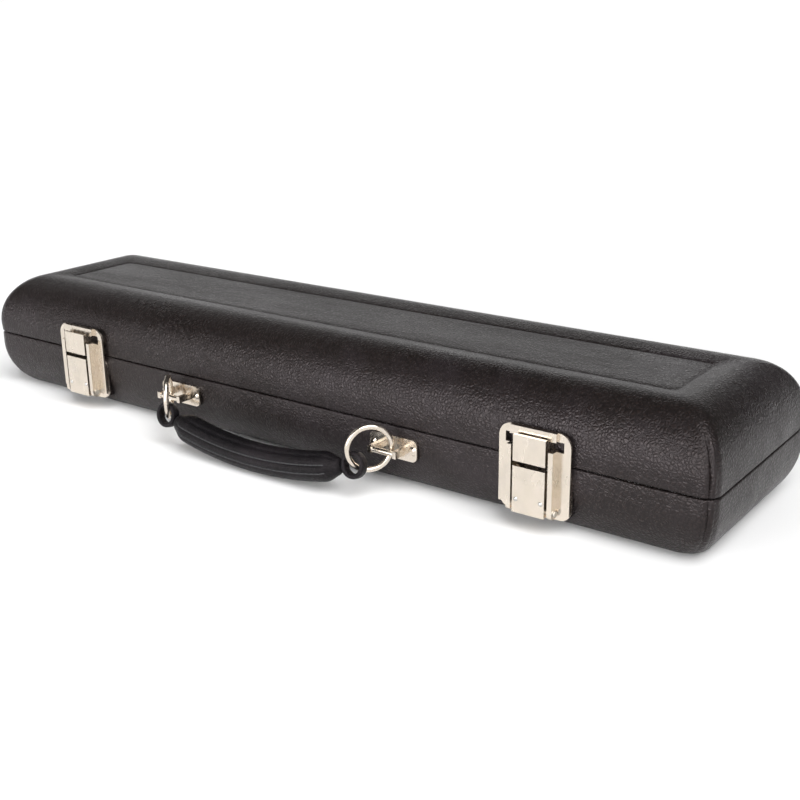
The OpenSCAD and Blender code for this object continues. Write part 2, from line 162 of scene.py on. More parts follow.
# ---------------------------------------------------------------- properties
class CaseLooks(PropertyGroup):
    leather_color: FloatVectorProperty(
        name="Leather", description="Colour of the leathered shells", subtype="COLOR",
        size=3, min=0, max=1, default=(0.0105, 0.0075, 0.0068))
    grip_color: FloatVectorProperty(
        name="Grip leather", description="Colour of the grip and its loops", subtype="COLOR",
        size=3, min=0, max=1, default=(0.006, 0.0055, 0.0065))
    thread_color: FloatVectorProperty(
        name="Thread", description="Colour of the stitching", subtype="COLOR",
        size=3, min=0, max=1, default=(0.03, 0.03, 0.032))
    nickel_color: FloatVectorProperty(
        name="Nickel", description="Colour of the plated fittings", subtype="COLOR",
        size=3, min=0, max=1, default=(0.75, 0.67, 0.585))
    plush_color: FloatVectorProperty(
        name="Plush", description="Colour of the linings", subtype="COLOR",
        size=3, min=0, max=1, default=(0.018, 0.03, 0.11))
    grain_size: FloatProperty(
        name="Grain size", description="Size of one pebble of the leather grain",
        default=1.5 * MM, min=0.3 * MM, max=3 * MM, unit="LENGTH", precision=4)
    grain_depth: FloatProperty(
        name="Grain depth", description="Depth of the leather grain",
        default=0.14 * MM, min=0, max=1 * MM, unit="LENGTH", precision=5)
    fitting_bevel: FloatProperty(
        name="Fitting edge", description="Rounding of the metal fittings' edges",
        default=0.28 * MM, min=0.05 * MM, max=0.6 * MM, unit="LENGTH", precision=5)
    stitch_length: FloatProperty(
        name="Stitch", description="Length of one stitch on the grip",
        default=2.4 * MM, min=1 * MM, max=5 * MM, unit="LENGTH", precision=4)


def looks():
    return bpy.context.scene.case_looks


# ---------------------------------------------------------------- materials
class Nodes:
    """A small helper that adds and links the nodes of one material."""

    def __init__(self, name):
        self.material = bpy.data.materials.new(name)
        self.material.use_nodes = True
        self.tree = self.material.node_tree
        self.shader = self.tree.nodes["Principled BSDF"]

    def add(self, kind, inputs=None, **settings):
        node = self.tree.nodes.new(kind)
        for key, value in settings.items():
            setattr(node, key, value)
        for key, value in (inputs or {}).items():
            if isinstance(value, bpy.types.NodeSocket):
                self.tree.links.new(value, node.inputs[key])
            else:
                node.inputs[key].default_value = value
        return node

    def set(self, **values):
        for key, value in values.items():
            socket = self.shader.inputs[key.replace("_", " ")]
            if isinstance(value, bpy.types.NodeSocket):
                self.tree.links.new(value, socket)
            else:
                socket.default_value = value

    def place(self, scale=(1, 1, 1)):
        spot = self.add("ShaderNodeTexCoord").outputs["Object"]
        return self.add("ShaderNodeMapping", {"Vector": spot, "Scale": scale}).outputs["Vector"]

    def noise(self, vector, scale, detail=4.0, roughness=0.55):
        values = {"Vector": vector, "Scale": scale, "Detail": detail, "Roughness": roughness}
        return self.add("ShaderNodeTexNoise", values).outputs["Fac"]

    def cells(self, vector, scale, feature="DISTANCE_TO_EDGE"):
        values = {"Vector": vector, "Scale": scale, "Randomness": 0.95}
        return self.add("ShaderNodeTexVoronoi", values, feature=feature).outputs["Distance"]

    def steps(self, value, low, high, out_low=0.0, out_high=1.0):
        values = {"Value": value, "From Min": low, "From Max": high, "To Min": out_low, "To Max": out_high}
        return self.add("ShaderNodeMapRange", values).outputs["Result"]

    def mix_color(self, factor, a, b):
        node = self.add("ShaderNodeMix", data_type="RGBA")
        for key, value in ((0, factor), (6, a), (7, b)):
            if isinstance(value, bpy.types.NodeSocket):
                self.tree.links.new(value, node.inputs[key])
            else:
                node.inputs[key].default_value = value
        return node.outputs[2]

    def math(self, operation, a, b):
        return self.add("ShaderNodeMath", {0: a, 1: b}, operation=operation).outputs["Value"]

    def bump(self, height, distance, strength=1.0, normal=None):
        values = {"Height": height, "Distance": distance, "Strength": strength}
        if normal is not None:
            values["Normal"] = normal
        return self.add("ShaderNodeBump", values).outputs["Normal"]


def rgba(color, gain=1.0):
    return (*(min(1.0, c * gain) for c in color), 1.0)


def leather_material(name, color, coarse, creases, gloss):
    """Pebbled leathercloth: cells for the pebbles, creases, painted shade in the low spots between pebbles
    and rubbed patches here and there.
    """
    m = Nodes(name)
    size = looks().grain_size * coarse
    depth = looks().grain_depth
    spot = m.place()
    drift = m.add("ShaderNodeTexNoise", {"Vector": spot, "Scale": 0.35 / size}).outputs["Color"]
    drift = m.add("ShaderNodeVectorMath", {0: drift, 3: 1.6 * size}, operation="SCALE").outputs["Vector"]
    warped = m.add("ShaderNodeVectorMath", {0: spot, 1: drift}, operation="ADD").outputs["Vector"]
    pebble = m.steps(m.cells(warped, 1.0 / size), 0.0, 0.32)
    fine = m.cells(spot, 2.6 / size)
    wobble = m.noise(spot, 0.6 / size, 2.0)
    fold = m.noise(m.place((1, 1, 2.2)), 0.05 / size, 6.0, 0.65)
    grain = m.math("ADD", m.math("MULTIPLY", pebble, 0.8), m.math("MULTIPLY", fine, 0.5))
    grain = m.math("ADD", grain, m.math("MULTIPLY", wobble, 0.5))
    rub = m.steps(m.noise(spot, 11.0, 7.0, 0.72), 0.5, 0.7)
    streak = m.noise(m.place((0.16, 1, 1)), 60.0, 5.0, 0.6)
    # Darker in the grooves between pebbles and lighter on their tops: painted shade in the grain.
    tone = m.mix_color(pebble, rgba(color, 0.35), rgba(color, 1.3))
    tone = m.mix_color(m.math("MULTIPLY", rub, 0.5), tone, rgba((0.026, 0.021, 0.024)))
    rough = m.math("ADD", m.steps(streak, 0.3, 0.7, 0.22, 0.36), m.steps(pebble, 0, 1, 0.14, 0.0))
    rough = m.math("ADD", rough, m.math("MULTIPLY", rub, -0.05))
    soft = m.bump(fold, creases * MM, 0.7)
    m.set(Base_Color=tone, Roughness=rough, Normal=m.bump(grain, depth, 1.0, soft),
          Specular_IOR_Level=gloss, IOR=1.5, Specular_Tint=rgba((1.0, 0.9, 0.92)))
    return m.material


def nickel_material(name, color, low=0.13, high=0.3):
    """Bright nickel plate with a warm tint, handling marks, fine scratches and a faint orange peel."""
    m = Nodes(name)
    spot = m.place()
    haze = m.noise(spot, 160.0, 6.0, 0.65)
    smear = m.noise(m.place((1, 1, 0.25)), 420.0, 3.0)
    scratch = m.noise(m.place((0.12, 1, 1.9)), 3800.0, 2.0, 0.5)
    dull = m.steps(m.noise(spot, 70.0, 5.0, 0.7), 0.5, 0.75)
    tone = m.mix_color(m.steps(haze, 0.35, 0.75), rgba(color), rgba((0.70, 0.63, 0.53)))
    tone = m.mix_color(m.math("MULTIPLY", dull, 0.35), tone, rgba((0.42, 0.39, 0.35)))
    rough = m.math("ADD", m.steps(smear, 0.3, 0.7, low, high), m.math("MULTIPLY", dull, 0.12))
    peel = m.bump(haze, 0.05 * MM, 0.35)
    m.set(Base_Color=tone, Metallic=1.0, Roughness=rough, Normal=m.bump(scratch, 0.01 * MM, 0.25, peel))
    return m.material


def brushed_material(name, color, axis_scale, rough=0.34):
    """Metal with a brushed grain along one axis."""
    m = Nodes(name)
    lines = m.noise(m.place(axis_scale), 900.0, 3.0, 0.6)
    patch = m.noise(m.place(), 45.0, 4.0)
    tone = m.mix_color(lines, rgba(color, 0.82), rgba(color, 1.08))
    m.set(Base_Color=tone, Metallic=1.0, Roughness=m.steps(patch, 0.3, 0.7, rough - 0.07, rough + 0.08),
          Normal=m.bump(lines, 0.02 * MM, 0.4))
    return m.material


def plush_material(name, color):
    """Short-pile plush: brushed patches, a fine pile and a soft sheen."""
    m = Nodes(name)
    spot = m.place()
    pile = m.noise(spot, 2600.0, 2.0, 0.7)
    brush = m.noise(m.place((0.4, 1, 1)), 38.0, 5.0, 0.6)
    tone = m.mix_color(m.steps(brush, 0.35, 0.68), rgba(color, 0.6), rgba(color, 1.7))
    tone = m.mix_color(m.math("MULTIPLY", pile, 0.4), tone, rgba(color, 2.6))
    m.set(Base_Color=tone, Roughness=m.steps(pile, 0.2, 0.8, 0.8, 0.98), Sheen_Weight=0.45,
          Sheen_Roughness=0.4, Sheen_Tint=rgba((0.35, 0.45, 0.9)),
          Normal=m.bump(pile, 0.25 * MM, 0.7, m.bump(brush, 0.5 * MM, 0.4)))
    return m.material


def thread_material(name, color):
    """Waxed thread with its twist."""
    m = Nodes(name)
    twist = m.add("ShaderNodeTexWave", {"Vector": m.place((1, 1, 1.4)), "Scale": 900.0,
                                        "Distortion": 1.5}).outputs["Fac"]
    tone = m.mix_color(twist, rgba(color, 0.6), rgba(color, 1.6))
    m.set(Base_Color=tone, Roughness=m.steps(twist, 0, 1, 0.5, 0.7), Normal=m.bump(twist, 0.06 * MM, 0.7))
    return m.material


def floor_material():
    """Plain matt white."""
    m = Nodes("pale_floor")
    m.set(Base_Color=(0.93, 0.93, 0.93, 1), Roughness=0.8, Specular_IOR_Level=0.1)
    return m.material


MATERIALS = {}


def material(name):
    """Makes each material once and returns it after that."""
    if name not in MATERIALS:
        l = looks()
        makers = {
            "case_leather": lambda: leather_material("case_leather", l.leather_color, 1.0, 0.8, 0.3),
            "grip_leather": lambda: leather_material("grip_leather", l.grip_color, 0.6, 0.2, 0.15),
            "nickel": lambda: nickel_material("nickel", l.nickel_color),
            "steel_pins": lambda: brushed_material("steel_pins", (0.55, 0.54, 0.52), (0.1, 1, 1)),
            "rim_metal": lambda: brushed_material("rim_metal", (0.78, 0.78, 0.79), (0.08, 0.08, 1.5)),
            "plush": lambda: plush_material("plush", l.plush_color),
            "thread": lambda: thread_material("thread", l.thread_color),
            "floor": floor_material,
        }
        MATERIALS[name] = makers[name]()
    return MATERIALS[name]


# ---------------------------------------------------------------- mesh tools
def dress(obj, name):
    obj.data.materials.clear()
    obj.data.materials.append(material(name))


def smooth(obj, angle=40):
    with bpy.context.temp_override(object=obj, selected_editable_objects=[obj], active_object=obj):
        bpy.ops.object.shade_smooth_by_angle(angle=math.radians(angle))


def new_piece(name, verts, faces, finish, angle=40):
    mesh = bpy.data.meshes.new(name)
    mesh.from_pydata([tuple(v) for v in verts], [], faces)
    mesh.validate()
    obj = bpy.data.objects.new(name, mesh)
    bpy.context.scene.collection.objects.link(obj)
    work = bmesh.new()
    work.from_mesh(mesh)
    bmesh.ops.recalc_face_normals(work, faces=work.faces)
    work.to_mesh(mesh)
    work.free()
    dress(obj, finish)
    smooth(obj, angle)
    return obj


FOLD_DEPTH = 0.9 * MM
FOLD_RIDGE = 0.45 * MM


def corner_fold(share):
    """Where the leather is folded round a corner: a groove with a ridge beside it, in metres outwards."""
    groove = math.exp(-((share - 0.38) / 0.05) ** 2)
    ridge = math.exp(-((share - 0.55) / 0.07) ** 2)
    return FOLD_RIDGE * ridge - FOLD_DEPTH * groove


def rounded_loop(half_l, half_w, r, fold=0.0, corner=24, along=70, across=18):
    """Points of a rounded rectangle, the same number for every size, counter-clockwise."""
    points = []
    sides = [((1, -1), (1, 1), across, 0), ((1, 1), (-1, 1), along, 90),
             ((-1, 1), (-1, -1), across, 180), ((-1, -1), (1, -1), along, 270)]
    for start, end, count, angle in sides:
        direction = math.radians(angle)
        a = Vector((start[0] * (half_l - r), start[1] * (half_w - r)))
        b = Vector((end[0] * (half_l - r), end[1] * (half_w - r)))
        out = Vector((math.cos(direction), math.sin(direction))) * r
        for i in range(count):
            points.append(a.lerp(b, i / count) + out)
        for i in range(corner):
            turn = direction + math.pi / 2 * i / corner
            reach = r + fold * corner_fold(i / corner)
            points.append(b + Vector((math.cos(turn), math.sin(turn))) * reach)
    return points


def tube_faces(rings, around):
    """Quads between rings of vertices, each ring closed on itself."""
    faces = []
    for k in range(rings - 1):
        for i in range(around):
            j = (i + 1) % around
            faces.append((k * around + i, k * around + j, (k + 1) * around + j, (k + 1) * around + i))
    return faces


def loft(levels):
    """Closed skin through levels of (inset, z, plan radius, corner fold), with a flat cap at each end."""
    verts = []
    for inset, z, r, fold in levels:
        loop = rounded_loop(CASE_L / 2 - inset, CASE_W / 2 - inset, r, fold)
        verts += [Vector((p.x, p.y, z)) for p in loop]
    count = len(verts) // len(levels)
    faces = tube_faces(len(levels), count)
    faces.append(tuple(range(count)))
    faces.append(tuple(range((len(levels) - 1) * count, len(levels) * count)))
    return verts, faces


def settle(verts, depth, scale, seed):
    """Presses the skin inwards by a slow noise, as leathercloth drawn over a moulding lies."""
    for v in verts:
        pull = depth * (0.5 + 0.5 * noise.noise(v * scale + Vector((seed, 0, 0))))
        v.y -= math.copysign(min(pull, abs(v.y)), v.y)


def lid_inset(z):
    rise = max(0.0, z - SIDE_Z) / SHOULDER_DROP
    return SHOULDER_RUN * (1 - math.sqrt(max(0.0, 1 - rise * rise)))


def base_inset(z):
    fall = max(0.0, FOOT_RISE - z) / FOOT_RISE
    return FOOT_RUN * (1 - math.sqrt(max(0.0, 1 - fall * fall)))


def blend(a, b, t):
    return a + (b - a) * t


def arc_steps(count):
    return [math.pi / 2 * i / count for i in range(count + 1)]


# ---------------------------------------------------------------- case
EDGE = 0.8 * MM
BORDER_FALL = 1.4 * MM
BORDER_STEP = 0.15 * MM
BORDER_CROWN = 0.6 * MM
DRAPE_DEPTH = 0.25 * MM
DRAPE_SCALE = 16.0
SEAT_DEEP = 6 * MM
SEAT_ROUND = 0.5 * MM
KEEPER_TAB = 1.6 * MM
BRACKET_W = 29 * MM


def lid_levels():
    """Inner roof, inner wall, seam edge, side, shoulder, border and sunk panel."""
    levels = []
    roof = CASE_H - 3 * MM
    for z in (roof, roof - 2 * MM, 48 * MM, 44 * MM, 41 * MM, 37 * MM, SIDE_Z):
        levels.append((lid_inset(z) + LID_WALL, z, INNER_R, 0))
    levels.append((LID_WALL, SEAM_HIGH + 0.3 * MM, INNER_R, 0))
    levels.append((LID_WALL - 0.3 * MM, SEAM_HIGH, INNER_R, 0))
    for t in arc_steps(4):
        levels.append((EDGE * (1 - math.sin(t)), SEAM_HIGH + EDGE * (1 - math.cos(t)), CORNER_R, 0.5))
    for t in arc_steps(26):
        out = 1 - math.cos(t)
        r = blend(CORNER_R, TOP_R, out)
        levels.append((SHOULDER_RUN * out, SIDE_Z + SHOULDER_DROP * math.sin(t), r, max(0, 1 - 2.2 * out)))
    wall = SHOULDER_RUN + BORDER_W
    floor_z = CASE_H - PANEL_DEPTH - 0.35 * MM
    crown = SHOULDER_RUN + BORDER_CROWN
    for u in (0.0, 0.2, 0.4, 0.6, 0.8, 0.93, 1.0):
        drop = BORDER_FALL * (0.5 * u + 0.5 * u * u) + BORDER_STEP * max(0, (u - 0.93) / 0.07)
        levels.append((blend(crown, wall - 0.1 * MM, u), CASE_H - drop, blend(TOP_R, PANEL_R, u), 0))
    levels.append((wall + 0.2 * MM, floor_z, PANEL_R, 0))
    levels.append((wall + 1.2 * MM, CASE_H - PANEL_DEPTH - 0.1 * MM, PANEL_R, 0))
    levels.append((wall + 3 * MM, CASE_H - PANEL_DEPTH, PANEL_R, 0))
    levels.append((wall + 10 * MM, CASE_H - PANEL_DEPTH, PANEL_R, 0))
    return levels


def base_levels():
    """Inner floor, inner wall, seam edge, side, rounded lower edge and underside."""
    levels = []
    for z in (FLOOR, 5.5 * MM, 9 * MM, 14 * MM, FOOT_RISE):
        levels.append((base_inset(z) + BASE_WALL, z, INNER_R, 0))
    levels.append((BASE_WALL, SEAM_LOW - 0.3 * MM, INNER_R, 0))
    levels.append((BASE_WALL - 0.3 * MM, SEAM_LOW, INNER_R, 0))
    for t in arc_steps(4):
        levels.append((EDGE * (1 - math.sin(t)), SEAM_LOW - EDGE * (1 - math.cos(t)), CORNER_R, 0.5))
    for t in arc_steps(22):
        out = 1 - math.cos(t)
        r = blend(CORNER_R, BOTTOM_R, out)
        levels.append((FOOT_RUN * out, FOOT_RISE * (1 - math.sin(t)), r, 0.7 * max(0, 1 - 1.5 * out)))
    levels.append((FOOT_RUN + 6 * MM, 0.0, BOTTOM_R, 0))
    return levels


def seat_block(x, width, z0, z1, side):
    """A flat moulded seat behind a fitting, let into the shell, with rounded edges."""
    y_out = side * CASE_W / 2
    middle = Vector((x, y_out - side * SEAT_DEEP / 2, (z0 + z1) / 2))
    work = bmesh.new()
    bmesh.ops.create_cube(work, size=1.0)
    for v in work.verts:
        v.co = middle + Vector((v.co.x * width, v.co.y * SEAT_DEEP, v.co.z * (z1 - z0)))
    bmesh.ops.bevel(work, geom=list(work.edges), offset=SEAT_ROUND, segments=3, affect="EDGES")
    verts = [v.co.copy() for v in work.verts]
    faces = [tuple(v.index for v in f.verts) for f in work.faces]
    work.free()
    return verts, faces


def joined(parts):
    """Several (verts, faces) as one."""
    verts, faces = [], []
    for part_verts, part_faces in parts:
        start = len(verts)
        verts += part_verts
        faces += [tuple(i + start for i in face) for face in part_faces]
    return verts, faces


class CASE_OT_lid(Operator):
    """Leathered lid with its rounded shoulder, border and sunk panel"""
    bl_idname = "flute_case.lid"
    bl_label = "Lid"

    def execute(self, context):
        verts, faces = loft(lid_levels())
        settle(verts, DRAPE_DEPTH, DRAPE_SCALE, 3.0)
        parts = [(verts, faces)]
        for side in (-1, 1):
            low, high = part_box("latch_keeper_left")
            parts.append(seat_block(side * LATCH_X, BOX_W, low[2], high[2] - KEEPER_TAB, -1))
            low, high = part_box("hinge_leaf_lid_left")
            parts.append(seat_block(side * HINGE_X, high[0] - low[0], SEAM_HIGH, high[2], 1))
        piece = new_piece("lid_leather", *joined(parts), "case_leather", 50)
        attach(piece, "lid")
        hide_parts("lid_shell")
        return {"FINISHED"}


class CASE_OT_base(Operator):
    """Leathered base with its rounded lower edge and flat underside"""
    bl_idname = "flute_case.base"
    bl_label = "Base"

    def execute(self, context):
        verts, faces = loft(base_levels())
        settle(verts, DRAPE_DEPTH, DRAPE_SCALE, 8.0)
        parts = [(verts, faces)]
        for side in (-1, 1):
            low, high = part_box("latch_bracket_left")
            parts.append(seat_block(side * LATCH_X, BRACKET_W, low[2] + 1 * MM, high[2], -1))
            low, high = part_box("handle_plate_left")
            parts.append(seat_block(side * MOUNT_X, high[0] - low[0] - 2 * SEAT_EDGE,
                                    low[2] + SEAT_EDGE, high[2] - SEAT_EDGE, -1))
            low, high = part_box("hinge_leaf_base_left")
            parts.append(seat_block(side * HINGE_X, high[0] - low[0], low[2], SEAM_LOW, 1))
        piece = new_piece("base_leather", *joined(parts), "case_leather", 50)
        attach(piece, "base")
        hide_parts("base_shell")
        return {"FINISHED"}


# ---------------------------------------------------------------- linings
def rect_gap(x, y, rect):
    """Signed distance from a rounded rectangle (middle x, middle y, length, width, radius)."""
    cx, cy, l, w, r = rect
    dx = abs(x - cx) - l / 2 + r
    dy = abs(y - cy) - w / 2 + r
    outside = math.hypot(max(dx, 0), max(dy, 0))
    return outside + min(max(dx, dy), 0) - r


def soft_step(value, width):
    """0 well inside, 1 well outside, with a soft turn of the given width."""
    t = min(1.0, max(0.0, value / width + 0.5))
    return t * t * (3 - 2 * t)


def spaced(low, high, step):
    count = max(2, round((high - low) / step))
    return [low + (high - low) * i / count for i in range(count + 1)]


def pad_mesh(low, high, step, height, back_z):
    """A pad whose face follows height(x, y), closed by straight sides and a back at back_z."""
    xs = spaced(low[0], high[0], step)
    ys = spaced(low[1], high[1], step)
    verts = [Vector((x, y, height(x, y))) for y in ys for x in xs]
    nx, ny = len(xs), len(ys)
    faces = [(j * nx + i, j * nx + i + 1, (j + 1) * nx + i + 1, (j + 1) * nx + i)
             for j in range(ny - 1) for i in range(nx - 1)]
    edge = [i for i in range(nx)] + [j * nx + nx - 1 for j in range(1, ny)]
    edge += [(ny - 1) * nx + i for i in range(nx - 2, -1, -1)] + [j * nx for j in range(ny - 2, 0, -1)]
    start = len(verts)
    verts += [Vector((verts[i].x, verts[i].y, back_z)) for i in edge]
    count = len(edge)
    faces += [(edge[k], edge[(k + 1) % count], start + (k + 1) % count, start + k) for k in range(count)]
    faces.append(tuple(start + k for k in range(count)))
    return verts, faces


INSERT_TOP = insert_high[2]
ROW_END = 183.8 * MM
PLACES = [
    ((0, 23.5 * MM, 352 * MM, 32 * MM, 4 * MM), 18 * MM),
    ((-ROW_END + 113 * MM, -24.5 * MM, 226 * MM, 27 * MM, 4 * MM), 18 * MM),
    ((ROW_END - 67 * MM, -24.5 * MM, 134 * MM, 30 * MM, 4 * MM), 18 * MM),
    ((0, -1 * MM, 330 * MM, 10 * MM, 4 * MM), 10 * MM),
]


def insert_height(x, y):
    """Plush face of the insert: soft-edged places, and a crown between them."""
    z = INSERT_TOP
    border = -rect_gap(x, y, (0, 0, insert_high[0] - insert_low[0], insert_high[1] - insert_low[1], 5 * MM))
    z -= 1.4 * MM * (1 - soft_step(border - 0.8 * MM, 3 * MM))
    for rect, depth in PLACES:
        gap = rect_gap(x, y, rect)
        z -= depth * (1 - soft_step(gap + 0.4 * MM, 1.8 * MM))
        if gap > 0:
            z -= 0.5 * MM * math.exp(-gap / (1.2 * MM))
    z -= 0.25 * MM * (0.5 + 0.5 * noise.noise(Vector((x, y, 0)) * 60))
    return max(z, INSERT_TOP - 17.9 * MM)


def lining_height(x, y):
    """Face of the lid's padding: a rolled edge, a soft ceiling and shallow tufts."""
    roof = SEAM_HIGH - 0.15 * MM + 15.5 * MM
    edge = lining_low[2]
    inside = rect_gap(x, y, (0, 0, CASE_L - 18 * MM, CASE_W - 18 * MM, 6 * MM))
    z = blend(roof + 0.3 * MM, edge, soft_step(inside + 0.5 * MM, 2.4 * MM))
    tuft_x = math.cos(2 * math.pi * x / (38 * MM))
    tuft_y = math.cos(2 * math.pi * y / (38 * MM))
    if inside < -6 * MM:
        z += 1.2 * MM * max(0.0, tuft_x * tuft_y) ** 6
    return z


class CASE_OT_insert(Operator):
    """Plush insert with places for three joints and a rod"""
    bl_idname = "flute_case.insert"
    bl_label = "Insert"

    def execute(self, context):
        step = 1.3 * MM
        verts, faces = pad_mesh(insert_low, insert_high, step, insert_height, INSERT_TOP - 18.6 * MM)
        piece = new_piece("plush_insert", verts, faces, "plush", 60)
        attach(piece, "base")
        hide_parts("base_insert")
        return {"FINISHED"}


class CASE_OT_lining(Operator):
    """Padded plush lining of the lid"""
    bl_idname = "flute_case.lining"
    bl_label = "Lid lining"

    def execute(self, context):
        step = 1.5 * MM
        margin = 1.9 * MM
        low = (lining_low[0] + margin, lining_low[1] + margin)
        high = (lining_high[0] - margin, lining_high[1] - margin)
        verts, faces = pad_mesh(low, high, step, lining_height, 45.5 * MM)
        piece = new_piece("plush_lining", verts, faces, "plush", 60)
        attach(piece, "lid")
        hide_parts("lid_lining")
        return {"FINISHED"}


# ---------------------------------------------------------------- handle
def grip_frame():
    """The grip's own axes: along the case, down its hanging arc, and towards the case."""
    down = Vector((0, -math.sin(GRIP_TILT), -math.cos(GRIP_TILT)))
    inward = Vector((0, math.cos(GRIP_TILT), -math.sin(GRIP_TILT)))
    middle = Vector((0, -CASE_W / 2 - HOLD_OUT, HOLD_Z))
    return middle, down, inward


def arc_point(s):
    """Place and direction on the grip's arc, for s from -1 at the left loop to 1 at the right."""
    middle, down, inward = grip_frame()
    radius = (HOLD_X ** 2 + GRIP_DROP ** 2) / (2 * GRIP_DROP)
    angle = s * math.asin(HOLD_X / radius)
    fall = radius * math.cos(angle) - radius + GRIP_DROP
    spot = middle + Vector((radius * math.sin(angle), 0, 0)) + down * fall
    way = Vector((math.cos(angle), 0, 0)) - down * math.sin(angle)
    return spot, way.normalized()


def grip_section(d):
    """Half height and half depth of the grip at a distance d from the middle of its loop."""
    t = min(1.0, max(0.0, (d - 5.5 * MM) / (10 * MM)))
    swell = t * t * (3 - 2 * t)
    return blend(3.3 * MM, GRIP_R, swell), blend(2.7 * MM, GRIP_R * 0.94, swell)


def grip_axes(s):
    """Place on the arc, and the section's up and inward axes there."""
    spot, way = arc_point(s)
    side = grip_frame()[2]
    up = side.cross(way).normalized()
    return spot, (up if up.z > 0 else -up), side


# Creases along the grip: angles round its section, from the top, to the outer and inner side
GRIP_SEAMS = [math.radians(a) for a in (-116, -80, 80, 116)]
GRIP_CREASES = GRIP_SEAMS + [math.radians(a) for a in (-40, 40)]
CREASE_DEPTH = 0.5 * MM
CREASE_WIDTH = math.radians(7)
GRIP_START = 6.3 * MM
STITCH_R = 0.3 * MM
STITCHED_LEN = 84 * MM
STITCHED_SHARE = 1.56
LOOP_R = 4.75 * MM
LOOP_THICK = 1.05 * MM
LOOP_WIDE = 2.1 * MM


def grip_radius(angle, fullness):
    """How much of the full section is left at an angle: creases press in, the bands between stand out."""
    press = sum(math.exp(-((angle - c) / CREASE_WIDTH) ** 2) for c in GRIP_CREASES)
    return 1 - press * CREASE_DEPTH / GRIP_R * fullness


def grip_point(s, angle, lift=0.0):
    """A place on the grip's skin, at s along it and at an angle from its top towards the case."""
    radius = (HOLD_X ** 2 + GRIP_DROP ** 2) / (2 * GRIP_DROP)
    half_len = radius * math.asin(HOLD_X / radius)
    spot, up, side = grip_axes(s)
    tall, deep = grip_section((1 - abs(s)) * half_len)
    fullness = min(1, (tall / GRIP_R) ** 2)
    wrinkle = 0.014 * noise.noise(Vector((s * 26, math.cos(angle) * 1.3, math.sin(angle) * 1.3)))
    size = grip_radius(angle, fullness) - 0.012 + wrinkle * fullness
    return (spot + up * (math.cos(angle) * (tall * size + lift))
            + side * (math.sin(angle) * (deep * size + lift)))


def grip_mesh(rings=110, around=96):
    """Padded leather body, creased along its length, with rounded ends."""
    radius = (HOLD_X ** 2 + GRIP_DROP ** 2) / (2 * GRIP_DROP)
    start = GRIP_START / (radius * math.asin(HOLD_X / radius))
    verts = []
    for k in range(rings + 1):
        s = blend(-1 + start, 1 - start, k / rings)
        middle = arc_point(s)[0]
        end = min(1.0, min(k, rings - k) / 2.0)
        shrink = 0.7 + 0.3 * math.sin(end * math.pi / 2)
        for i in range(around):
            angle = math.pi * (2 * i / around - 1)
            verts.append(middle.lerp(grip_point(s, angle), shrink))
    faces = tube_faces(rings + 1, around)
    faces.append(tuple(range(around)))
    faces.append(tuple(rings * around + i for i in range(around)))
    return verts, faces


def capsule(a, b, r, around=8, caps=3):
    """A short round-ended rod from a to b, as one stitch."""
    way = (b - a).normalized()
    side = way.orthogonal().normalized()
    up = way.cross(side)
    verts = []
    turns = arc_steps(caps)
    rows = [(a, -math.cos(t) * r, math.sin(t) * r) for t in turns]
    rows += [(b, math.sin(t) * r, math.cos(t) * r) for t in turns]
    for spot, shift, radius in rows:
        for i in range(around):
            t = 2 * math.pi * i / around
            out = side * math.cos(t) + up * math.sin(t)
            verts.append(spot + way * shift + out * max(radius, 0.02 * MM))
    faces = tube_faces(len(rows), around)
    faces.append(tuple(range(around)))
    faces.append(tuple((len(rows) - 1) * around + i for i in range(around)))
    return verts, faces


class CASE_OT_grip(Operator):
    """Padded leather grip with stitched creases along it"""
    bl_idname = "flute_case.grip"
    bl_label = "Grip"

    def execute(self, context):
        grip = new_piece("leather_grip", *grip_mesh(), "grip_leather", 60)
        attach(grip, "grip")
        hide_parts("handle_grip")
        stitches = []
        length = looks().stitch_length
        count = int(STITCHED_LEN / length)
        for angle in GRIP_SEAMS:
            for i in range(count):
                a, b = [grip_point(((i + part) / count - 0.5) * STITCHED_SHARE, angle, 0.1 * MM)
                        for part in (0.14, 0.86)]
                stitches.append(capsule(a, b, STITCH_R))
        thread = new_piece("grip_stitches", *joined(stitches), "thread", 60)
        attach(thread, "grip")
        return {"FINISHED"}


class CASE_OT_loops(Operator):
    """Folded leather loops that join the grip to its rings"""
    bl_idname = "flute_case.loops"
    bl_label = "Grip loops"

    def execute(self, context):
        for side, name in ((-1, "left"), (1, "right")):
            middle, down, inward = grip_frame()
            spot, way = arc_point(side)
            way = way * -side
            verts, faces = [], []
            around, section = 48, 16
            for k in range(around):
                t = 2 * math.pi * k / around
                out = way * math.cos(t) + inward.cross(way) * math.sin(t)
                for i in range(section):
                    a = 2 * math.pi * i / section
                    thick = math.copysign(abs(math.cos(a)) ** 0.6, math.cos(a)) * LOOP_THICK
                    wide = math.copysign(abs(math.sin(a)) ** 0.6, math.sin(a)) * LOOP_WIDE
                    verts.append(spot + out * (LOOP_R + thick) + inward * wide)
            for k in range(around):
                for i in range(section):
                    k2, i2 = (k + 1) % around, (i + 1) % section
                    faces.append((k * section + i, k * section + i2, k2 * section + i2, k2 * section + i))
            loop = new_piece(f"leather_loop_{name}", verts, faces, "grip_leather", 60)
            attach(loop, "grip")
            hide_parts(f"handle_loop_{name}")
        return {"FINISHED"}


# ---------------------------------------------------------------- fittings
NICKEL_NODES = [f"{kind}_{side}" for side in ("left", "right") for kind in (
    "latch_bracket", "latch_keeper", "latch_frame", "handle_plate", "handle_ring",
    "hinge_leaf_base", "hinge_leaf_lid")]
NICKEL_NODES += ["handle_rivets", "hinge_rivets_base", "hinge_rivets_lid"]
STEEL_NODES = ["latch_pin_left", "latch_pin_right", "hinge_pin_left", "hinge_pin_right",
               "latch_rivets_base", "latch_rivets_lid", "handle_core"]


